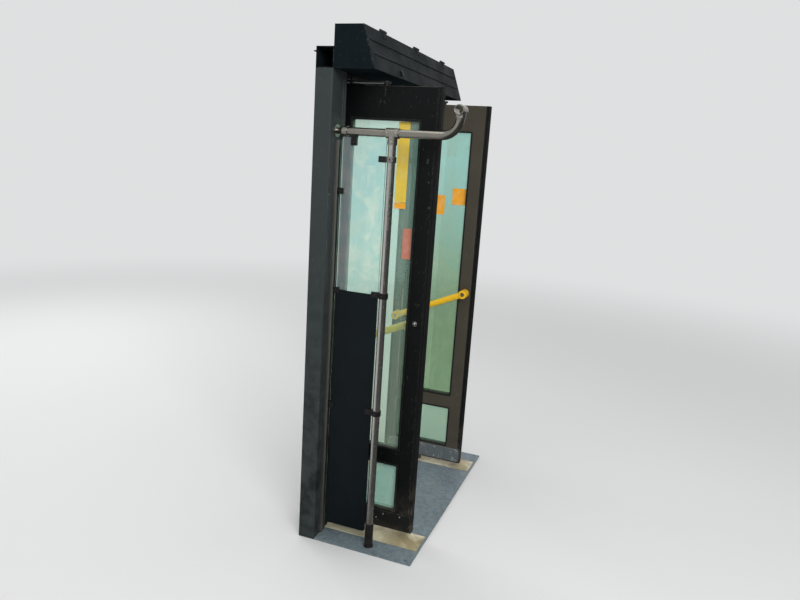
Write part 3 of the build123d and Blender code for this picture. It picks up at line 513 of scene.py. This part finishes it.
edge_rubber = soft_black("edge_rubber", colour=(0.006, 0.0065, 0.0065), rough=0.66, grain=900.0, bump=0.25,
                         dust=0.3, reach=0.35, lines=0.06, pale=(0.07, 0.07, 0.065))
gasket_rubber = soft_black("gasket_rubber", colour=(0.009, 0.010, 0.010), rough=0.5, grain=1100.0,
                           bump=0.15, dust=0.25, reach=0.3)
clamp_finish = soft_black("clamp_finish", colour=(0.009, 0.009, 0.010), rough=0.42, grain=800.0, bump=0.2,
                          dust=0.1, reach=0.2, band=(0.29, 0.28, 0.255))
moulded_black = soft_black("moulded_black", colour=(0.007, 0.0075, 0.008), rough=0.42, grain=800.0,
                           bump=0.2, dust=0.07, reach=0.2)
nylon_bristle = soft_black("nylon_bristle", colour=(0.02, 0.02, 0.021), rough=0.45, grain=1500.0,
                           bump=0.05, dust=0.6, reach=0.04)
# Low down, the front leaf's upper pane turns lighter, which is painted light, and the rear upper pane turns
# darker, which is painted shade, for what is seen through them.
leaf_glass = tinted_glass("leaf_glass", tint=(0.57, 0.82, 0.73), haze=0.6, marks=(0.75, 0.84, 0.70),
                          veil=0.13, low_tint=(0.68, 0.84, 0.70))
rear_glass = tinted_glass("rear_glass", tint=(0.44, 0.75, 0.69), haze=0.6, marks=(0.48, 0.59, 0.41),
                          veil=0.14, low_tint=(0.28, 0.44, 0.26), span=(0.75, 1.8))
# The lower panes are one glass. The front one's lighter colour is painted light and the rear one's darker
# colour is painted shade, for what is seen through them.
front_low_glass = tinted_glass("front_low_glass", tint=(0.66, 0.93, 0.80), haze=0.6,
                               marks=(0.84, 0.97, 0.86), veil=0.25)
rear_low_glass = tinted_glass("rear_low_glass", tint=(0.44, 0.65, 0.51), haze=0.6,
                              marks=(0.54, 0.64, 0.48), veil=0.14)
guard_glass = tinted_glass("guard_glass", tint=(0.73, 0.92, 0.95), haze=1.7, marks=(1.0, 1.0, 0.96),
                           veil=0.06, low_tint=(0.90, 0.97, 0.86), fine=2.4)
floor_covering = floor_sheet("floor_covering")
cream_strip = cream_sheet("cream_strip")

SLOT_FINISH = {
    "dark_frame": post_paint, "glass": leaf_glass, "rubber": edge_rubber, "steel_tube": fitting_steel,
    "yellow_paint": handle_paint, "black_plastic": moulded_black, "dark_panel": panel_laminate,
    "aluminium": channel_aluminium, "floor_covering": floor_covering, "cream_strip": cream_strip,
    "header_paint": header_paint, "arm_steel": arm_paint, "bristle": nylon_bristle,
    "bolt_steel": fastener_steel, "engine_cast": cast_metal, "kick_black": kick_paint,
}
NODE_FINISH = {
    "front_leaf_frame": leaf_paint, "rear_leaf_frame": leaf_paint, "top_beam": header_paint,
    "front_leaf_gaskets": gasket_rubber, "rear_leaf_gaskets": gasket_rubber,
    "guard_stanchion": stanchion_steel, "guard_cross_rail": rail_steel, "guard_glass": guard_glass,
    "header_cover": cover_paint, "guide_tracks": track_aluminium, "threshold": sill_aluminium,
    "threshold_nosing": nosing_paint, "guard_stanchion_clamps": clamp_finish,
    "front_shoe_plate": shoe_paint, "rear_shoe_plate": shoe_paint,
    "front_lower_glass": front_low_glass, "rear_upper_glass": rear_glass, "rear_lower_glass": rear_low_glass,
}
for part in frame["record"]["subparts"]:
    node = frame["nodes"][part["node"]]
    node.data.materials.clear()
    node.data.materials.append(NODE_FINISH.get(part["node"], SLOT_FINISH[part["material_slot"]]))


# Geometry trees for what repeats

BRISTLE_TAPER = 0.55
BRISTLE_SPIN = 6.28


def growing(name, inputs):
    """An empty geometry tree with named inputs."""
    tree = bpy.data.node_groups.new(name, "GeometryNodeTree")
    tree.interface.new_socket("Geometry", in_out="INPUT", socket_type="NodeSocketGeometry")
    for label, (kind, value) in inputs.items():
        socket = tree.interface.new_socket(label, in_out="INPUT", socket_type="NodeSocket" + kind)
        if value is not None:
            socket.default_value = value
    tree.interface.new_socket("Geometry", in_out="OUTPUT", socket_type="NodeSocketGeometry")
    return tree, tree.nodes.new("NodeGroupInput").outputs, tree.nodes.new("NodeGroupOutput").inputs


def three(tree, x, y, z):
    return put(tree, "ShaderNodeCombineXYZ", {0: x, 1: y, 2: z}).outputs[0]


def end_tree(tree, last, given, out):
    """Makes the instances real and gives them their material."""
    solid = put(tree, "GeometryNodeRealizeInstances", {0: last.outputs[0]})
    dressed = put(tree, "GeometryNodeSetMaterial",
                  {"Geometry": solid.outputs[0], "Material": given["Material"]})
    join(tree, dressed.outputs[0], out[0])


def make_fastener_tree():
    """A domed head with a hexagon socket on each point, along the point's facing."""
    tree, given, out = growing("fasteners", {
        "Head Radius": ("Float", 0.004), "Head Height": ("Float", 0.0022),
        "Socket Radius": ("Float", 0.0016), "Material": ("Material", None)})
    ball = put(tree, "GeometryNodeMeshUVSphere", {"Segments": 20, "Rings": 10, "Radius": 1.0}).outputs[0]
    size = three(tree, given["Head Radius"], given["Head Radius"], given["Head Height"])
    dome = put(tree, "GeometryNodeTransform", {"Geometry": ball, "Scale": size})
    hexagon = put(tree, "GeometryNodeMeshCylinder",
                  {"Vertices": 6, "Radius": given["Socket Radius"], "Depth": given["Head Height"]}).outputs[0]
    raised = put(tree, "GeometryNodeTransform", {
        "Geometry": hexagon, "Translation": three(tree, 0.0, 0.0, given["Head Height"])})
    drilled = put(tree, "GeometryNodeMeshBoolean",
                  {"Mesh 1": dome.outputs[0], "Mesh 2": raised.outputs[0]}, operation="DIFFERENCE")
    facing = put(tree, "GeometryNodeInputNamedAttribute", {"Name": "facing"}, data_type="FLOAT_VECTOR")
    turned = put(tree, "FunctionNodeAlignRotationToVector", {"Vector": facing.outputs[0]}, axis="Z")
    placed = put(tree, "GeometryNodeInstanceOnPoints", {
        "Points": given["Geometry"], "Instance": drilled.outputs[0], "Rotation": turned.outputs[0]})
    end_tree(tree, placed, given, out)
    return tree


def make_bristle_tree():
    """Tapered bristles that hang from the faces of a carrier strip."""
    tree, given, out = growing("bristles", {
        "Length": ("Float", 0.0078), "Bristle Radius": ("Float", 0.00032), "Density": ("Float", 480000.0),
        "Lean": ("Float", 0.10), "Seed": ("Int", 3), "Carrier": ("Float", 0.002),
        "Material": ("Material", None)})
    spots = put(tree, "GeometryNodeDistributePointsOnFaces",
                {"Mesh": given["Geometry"], "Density": given["Density"], "Seed": given["Seed"]})
    strand = put(tree, "GeometryNodeMeshCone", {
        "Vertices": 4, "Radius Top": calc(tree, "MULTIPLY", given["Bristle Radius"], BRISTLE_TAPER),
        "Radius Bottom": given["Bristle Radius"], "Depth": given["Length"]}, fill_type="NONE").outputs[0]
    hanging = put(tree, "GeometryNodeTransform", {"Geometry": strand, "Rotation": (math.pi, 0.0, 0.0)})
    back = calc(tree, "MULTIPLY", given["Lean"], -1.0)
    most = three(tree, given["Lean"], given["Lean"], BRISTLE_SPIN)
    tilt = put(tree, "FunctionNodeRandomValue",
               {"Min": three(tree, back, back, 0.0), "Max": most, "Seed": given["Seed"]},
               data_type="FLOAT_VECTOR")
    placed = put(tree, "GeometryNodeInstanceOnPoints", {
        "Points": spots.outputs["Points"], "Instance": hanging.outputs[0], "Rotation": tilt.outputs[0]})
    body = put(tree, "GeometryNodeExtrudeMesh",
               {"Mesh": given["Geometry"], "Offset Scale": given["Carrier"]}).outputs[0]
    together = put(tree, "GeometryNodeJoinGeometry")
    join(tree, placed.outputs[0], together.inputs[0])
    join(tree, body, together.inputs[0])
    end_tree(tree, together, given, out)
    return tree


def link(piece):
    bpy.context.scene.collection.objects.link(piece)
    return piece


def grown(name, seed_mesh, tree, **values):
    """Runs a geometry tree over a mesh and keeps the result as a plain mesh."""
    seed = link(bpy.data.objects.new(name + "_seed", seed_mesh))
    live = seed.modifiers.new("grow", "NODES")
    live.node_group = tree
    for item in tree.interface.items_tree:
        value = values.get(item.name.replace(" ", "_"))
        if item.in_out == "INPUT" and value is not None:
            live[item.identifier] = value
    result = bpy.data.meshes.new_from_object(seed.evaluated_get(bpy.context.evaluated_depsgraph_get()))
    bpy.data.objects.remove(seed)
    return link(bpy.data.objects.new(name, result))


def finish_piece(piece, body):
    """Lets a piece ride on a body."""
    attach(piece, body)


fastener_tree = make_fastener_tree()
bristle_tree = make_bristle_tree()


# Screws

def fasteners(name, body, spots, slot="bolt_steel", material=None, **sizes):
    """Screw heads at (place, facing) spots, as one mesh that rides on a body."""
    seed = bpy.data.meshes.new(name)
    seed.from_pydata([place for place, facing in spots], [], [])
    directions = seed.attributes.new("facing", "FLOAT_VECTOR", "POINT")
    for point, (place, facing) in zip(directions.data, spots):
        point.vector = facing
    piece = grown(name, seed, fastener_tree, Material=material or fastener_steel, **sizes)
    finish_piece(piece, body)


KICK_ALONG = (-0.415, -0.285, -0.150, -0.020)
KICK_HEIGHTS = (0.050, 0.104)
SHOE_SPOTS = ((-0.266, 0.076), (-0.299, 0.0995), (-0.378, 0.103), (-0.150, 0.0995), (-0.085, 0.076))


def leaf_spots(side):
    """Screws of a leaf: in rows on its kick plate, and unevenly on the shoe plate of its street side."""
    inner = side * (LEAF_FACE - LEAF_DEPTH - KICK_PLATE)
    outer = side * (LEAF_FACE + SHOE_PLATE)
    toward = (-side, 0.0, 0.0)
    away = (side, 0.0, 0.0)
    spots = [((inner, y, z), toward) for y in KICK_ALONG for z in KICK_HEIGHTS]
    spots += [((outer, y, z), away) for y, z in SHOE_SPOTS]
    return spots


for side, name in ((-1, "front"), (1, "rear")):
    fasteners(name + "_leaf_screws", name + "_leaf", leaf_spots(side), Head_Radius=0.0040,
              Head_Height=0.0020, Socket_Radius=0.0017)


def both_faces(half, y, z):
    """A spot on each face of the guard screen's plane."""
    return [((GUARD_PLANE + side * half, y, z), (float(side), 0.0, 0.0)) for side in (-1, 1)]


SOCKET_SCREW = 0.0850
TEE_SCREWS = 0.019
TEE_DROP = 0.033
rail_spots = [((GUARD_PLANE - SLEEVE, y, RAIL_HEIGHT), (-1.0, 0.0, 0.0))
              for y in (-SOCKET_SCREW, STANCHION_Y + TEE_SCREWS, STANCHION_Y - TEE_SCREWS)]
rail_spots.append(((GUARD_PLANE - SLEEVE, STANCHION_Y, RAIL_HEIGHT - TEE_DROP), (-1.0, 0.0, 0.0)))
fasteners("rail_screws", "root", rail_spots, Head_Radius=0.0034, Head_Height=0.0016, Socket_Radius=0.0017)

STANCHION_TONGUE_Y = -0.2500
CHANNEL_CLAMP_Y = -0.0720
HANGER_PLACE = (-0.1250, 1.7290)
clamp_spots = []
for z in STANCHION_CLAMPS:
    clamp_spots += both_faces(SLEEVE, STANCHION_Y, z) + both_faces(CLAMP_HALF, STANCHION_TONGUE_Y, z)
for z in CHANNEL_CLAMPS:
    clamp_spots += both_faces(CLAMP_HALF, CHANNEL_CLAMP_Y, z)
clamp_spots += both_faces(CLAMP_HALF, *HANGER_PLACE)
fasteners("clamp_screws", "root", clamp_spots, slot="black_plastic", material=screw_black,
          Head_Radius=0.0036, Head_Height=0.0020, Socket_Radius=0.0016)

SILL_SCREWS = (0.06, 0.20, 0.34, 0.448)
SILL_MIDDLE = -0.0075
sill_spots = [((side * x, SILL_MIDDLE, SILL_SEAT), (0.0, 0.0, 1.0)) for side in (-1, 1) for x in SILL_SCREWS]
fasteners("threshold_screws", "root", sill_spots, Head_Radius=0.0046, Head_Height=0.0010,
          Socket_Radius=0.0018)


# Floor brushes

def brush_strip(name, side):
    """The seed of a leaf's brush: a flat strip under the leaf, open round its lower pivot."""
    near, far = side * LEAF_PLANE - BRUSH_HALF, side * LEAF_PLANE + BRUSH_HALF
    corners, faces = [], []
    for start, end in BRUSH_ENDS:
        first = len(corners)
        corners += [(x, y, BRUSH_SEAT) for x, y in ((near, start), (near, end), (far, end), (far, start))]
        faces.append((first, first + 3, first + 2, first + 1))
    strip = bpy.data.meshes.new(name)
    strip.from_pydata(corners, [], faces)
    return strip


for side, name in ((-1, "front"), (1, "rear")):
    brush = grown(name + "_brush", brush_strip(name + "_brush", side), bristle_tree,
                  Material=nylon_bristle, Seed=3 + side)
    finish_piece(brush, name + "_leaf")
    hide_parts(name + "_floor_brush")


# Rubber lips: how far a lip starts inside the edge it grows from, how much deeper its root goes, and where
# it ends short of that edge. The header's lip lies just over the closed leaves.

LIP_SEAT = 0.0004
LIP_ROOT = 0.003
LIP_END = 0.004
LIP_STEPS = 10
HEADER_LIP_GAP = 0.0004
HEADER_LIP_HALF = 0.0032


def prism(name, near, far, body, material):
    """A closed piece between two rings of points that match."""
    count = len(near)
    faces = [tuple(range(count)), tuple(range(2 * count - 1, count - 1, -1))]
    faces += [(i, i + count, (i + 1) % count + count, (i + 1) % count) for i in range(count)]
    mesh = bpy.data.meshes.new(name)
    mesh.from_pydata(near + far, [], faces)
    mesh.materials.append(material)
    finish_piece(link(bpy.data.objects.new(name, mesh)), body)


def rubber_lip(name, body, start, end, out, half, reach):
    """A rounded rubber lip along a line, pointing out."""
    start, end, out = Vector(start), Vector(end), Vector(out)
    across = (end - start).normalized().cross(out)
    turns = [math.pi * step / LIP_STEPS for step in range(LIP_STEPS + 1)]
    rim = [across * (half * math.cos(turn)) + out * (reach * math.sin(turn)) for turn in turns]
    rim = [rim[0] - out * LIP_ROOT] + rim + [rim[-1] - out * LIP_ROOT]
    prism(name, [start + step for step in rim], [end + step for step in rim], body, edge_rubber)


for side in ("front", "rear"):
    low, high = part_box(side + "_leading_edge")
    middle, nose = (low[0] + high[0]) / 2, high[1] - LIP_SEAT
    rubber_lip(side + "_leading_lip", side + "_leaf", (middle, nose, low[2] + LIP_END),
               (middle, nose, high[2] - LIP_END), out=(0.0, 1.0, 0.0), half=0.0026, reach=0.0032)

low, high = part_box("header_seal")
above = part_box("front_leaf_frame")[1][2] + HEADER_LIP_GAP + HEADER_LIP_HALF
rubber_lip("header_lip", "root", (low[0], low[1], above), (high[0], low[1], above), out=(0.0, -1.0, 0.0),
           half=HEADER_LIP_HALF, reach=0.0085)


# Blank labels on the leaves' glass: the glue lifts one off the pane, and the film is its thickness.

LABEL_GLUE = 0.0001
LABEL_FILM = 0.0003
CORNER_STEPS = 5


def rounded_outline(y_span, z_span, radius):
    """Points round a rectangle with rounded corners, in (y, z)."""
    low_y, high_y = y_span[0] + radius, y_span[1] - radius
    low_z, high_z = z_span[0] + radius, z_span[1] - radius
    points = []
    for y, z, start in ((high_y, high_z, 0), (low_y, high_z, 90), (low_y, low_z, 180), (high_y, low_z, 270)):
        for step in range(CORNER_STEPS + 1):
            turn = math.radians(start + 90 * step / CORNER_STEPS)
            points.append((y + radius * math.cos(turn), z + radius * math.sin(turn)))
    return points


def label(name, body, face, y_span, z_span, radius, material):
    """A thin film on the forward face of a pane."""
    outline = rounded_outline(y_span, z_span, radius)
    glued = face - LABEL_GLUE
    lifted = glued - LABEL_FILM
    prism(name, [(glued, y, z) for y, z in outline], [(lifted, y, z) for y, z in outline], body,
          material)


yellow_label = label_film("yellow_label", (0.80, 0.56, 0.06))
orange_label = label_film("orange_label", (0.88, 0.38, 0.02))
red_label = label_film("red_label", (0.56, 0.20, 0.13))
FRONT_PANE = -GLASS_FACE
REAR_PANE = GLASS_FACE - GLASS_DEPTH
# Each label's name, leaf, pane, span across the leaf, span in height, corner radius and film.
LABELS = (
    ("front_label_long", "front_leaf", FRONT_PANE, (-0.3035, -0.2540), (1.5000, 1.8230), 0.004, yellow_label),
    ("front_label_foot", "front_leaf", FRONT_PANE, (-0.3035, -0.2540), (1.4740, 1.4980), 0.003, orange_label),
    ("front_label_red", "front_leaf", FRONT_PANE, (-0.3395, -0.3000), (1.2670, 1.3950), 0.004, red_label),
    ("rear_label_middle", "rear_leaf", REAR_PANE, (-0.2320, -0.1350), (1.4020, 1.5030), 0.006, orange_label),
    ("rear_label_edge", "rear_leaf", REAR_PANE, (-0.3440, -0.2700), (1.4580, 1.5430), 0.006, orange_label),
)
for entry in LABELS:
    label(*entry)


# Stage, light and camera

BACKDROP = (0.74, 0.745, 0.75, 1.0)
ROOM_LEVEL = 0.66
DARK_SIDE = 0.88
INWARD = (0.06, -1.0, -0.03)
FLOOR_REACH = 40.0
FLOOR_HEIGHT = -0.0006
FLOOR_FADE = (2.2, 8.0)
FLOOR_DARKENS = (0.9, -0.5)
CAMERA_PLACE = (-3.025, -1.258, 1.680)


def seen_rays(tree):
    """1 for the rays that show the background: to the camera, in gloss and through glass."""
    rays = tree.nodes.new("ShaderNodeLightPath").outputs
    either = calc(tree, "MAXIMUM", rays["Is Camera Ray"], rays["Is Glossy Ray"])
    return calc(tree, "MAXIMUM", either, rays["Is Transmission Ray"])


def mirrored_rays(tree):
    """1 for the rays that gloss sends back, without those that pass through glass."""
    rays = tree.nodes.new("ShaderNodeLightPath").outputs
    unpassed = calc(tree, "SUBTRACT", 1.0, rays["Is Transmission Ray"])
    return calc(tree, "MULTIPLY", rays["Is Glossy Ray"], unpassed)


def make_floor():
    """A pale floor that fades into the backdrop. In gloss its passenger side is darker."""
    mesh = bpy.data.meshes.new("studio_floor")
    square = ((-1, -1), (1, -1), (1, 1), (-1, 1))
    corners = [(x * FLOOR_REACH, y * FLOOR_REACH, FLOOR_HEIGHT) for x, y in square]
    mesh.from_pydata(corners, [], [(0, 1, 2, 3)])
    floor = link(bpy.data.objects.new("studio_floor", mesh))
    material, tree, shader, place = begin("studio_floor")
    shader.inputs["Base Color"].default_value = (0.74, 0.74, 0.74, 1.0)
    shader.inputs["Roughness"].default_value = 0.7
    distance = put(tree, "ShaderNodeVectorMath", {0: place}, operation="LENGTH").outputs["Value"]
    far = calc(tree, "MULTIPLY", ramp(tree, distance, *FLOOR_FADE), seen_rays(tree))
    glow = put(tree, "ShaderNodeEmission", {"Color": BACKDROP, "Strength": 1.0})
    surface = put(tree, "ShaderNodeMixShader", {0: far, 1: shader.outputs[0], 2: glow.outputs[0]})
    inside = ramp(tree, xyz(tree, place)[1], *FLOOR_DARKENS, start=0.0, end=DARK_SIDE)
    flagged = calc(tree, "MULTIPLY", inside, mirrored_rays(tree))
    black = put(tree, "ShaderNodeEmission", {"Strength": 0.0})
    surface = put(tree, "ShaderNodeMixShader", {0: flagged, 1: surface.outputs[0], 2: black.outputs[0]})
    join(tree, surface.outputs[0], tree.nodes["Material Output"].inputs["Surface"])
    mesh.materials.append(material)


def make_world():
    """A pale room. In gloss its passenger side is darker, as the inside of a bus is."""
    world = bpy.data.worlds.new("studio")
    bpy.context.scene.world = world
    world.use_nodes = True
    tree = world.node_tree
    background = tree.nodes["Background"]
    background.inputs["Color"].default_value = BACKDROP
    ahead = tree.nodes.new("ShaderNodeTexCoord").outputs["Generated"]
    inside = put(tree, "ShaderNodeVectorMath", {0: ahead, 1: INWARD},
                 operation="DOT_PRODUCT").outputs["Value"]
    shade = ramp(tree, inside, 0.25, 0.7, start=0.0, end=DARK_SIDE)
    dimmed = calc(tree, "MULTIPLY", shade, mirrored_rays(tree))
    level = put(tree, "ShaderNodeMapRange", {"Value": seen_rays(tree), "To Min": ROOM_LEVEL, "To Max": 1.0})
    strength = calc(tree, "MULTIPLY", level.outputs[0], calc(tree, "SUBTRACT", 1.0, dimmed))
    join(tree, strength, background.inputs["Strength"])


def lamp(name, place, aim, size, power):
    """A soft rectangular lamp that faces a point."""
    light = bpy.data.lights.new(name, "AREA")
    light.shape = "RECTANGLE"
    light.size, light.size_y = size
    light.energy = power
    holder = link(bpy.data.objects.new(name, light))
    holder.location = place
    holder.rotation_mode = "QUATERNION"
    holder.rotation_quaternion = (Vector(aim) - Vector(place)).to_track_quat("-Z", "Y")


def make_camera():
    """Stands where the photograph was taken, turned a little to bring the doorway to the middle.

    The three axes are the photograph's own, from its vanishing lines. The fourth points to the doorway.
    """
    data = bpy.data.cameras.new("camera")
    camera = link(bpy.data.objects.new("camera", data))
    data.sensor_width = 36.0
    data.lens = 30.2
    right = Vector((0.49606, -0.86786, 0.02732))
    up = Vector((0.19888, 0.14419, 0.96936))
    sight = Vector((0.84521, 0.47543, -0.24412))
    doorway = Vector((0.91974, 0.33360, -0.20684))
    turn = sight.rotation_difference(doorway).to_matrix()
    camera.matrix_world = (turn @ Matrix((right, up, -sight)).transposed()).to_4x4()
    camera.location = CAMERA_PLACE
    bpy.context.scene.camera = camera


make_floor()
make_world()
lamp("key_light", place=(-4.6, -3.4, 4.2), aim=(0.0, -0.2, 1.0), size=(3.0, 2.6), power=210.0)
lamp("roof_light", place=(-0.4, -0.6, 6.0), aim=(-0.4, -0.6, 0.0), size=(5.0, 5.0), power=75.0)
lamp("street_light", place=(1.6, 4.6, 3.2), aim=(0.0, 0.0, 0.8), size=(3.0, 2.4), power=90.0)
make_camera()
bpy.context.scene.view_settings.view_transform = "Standard"
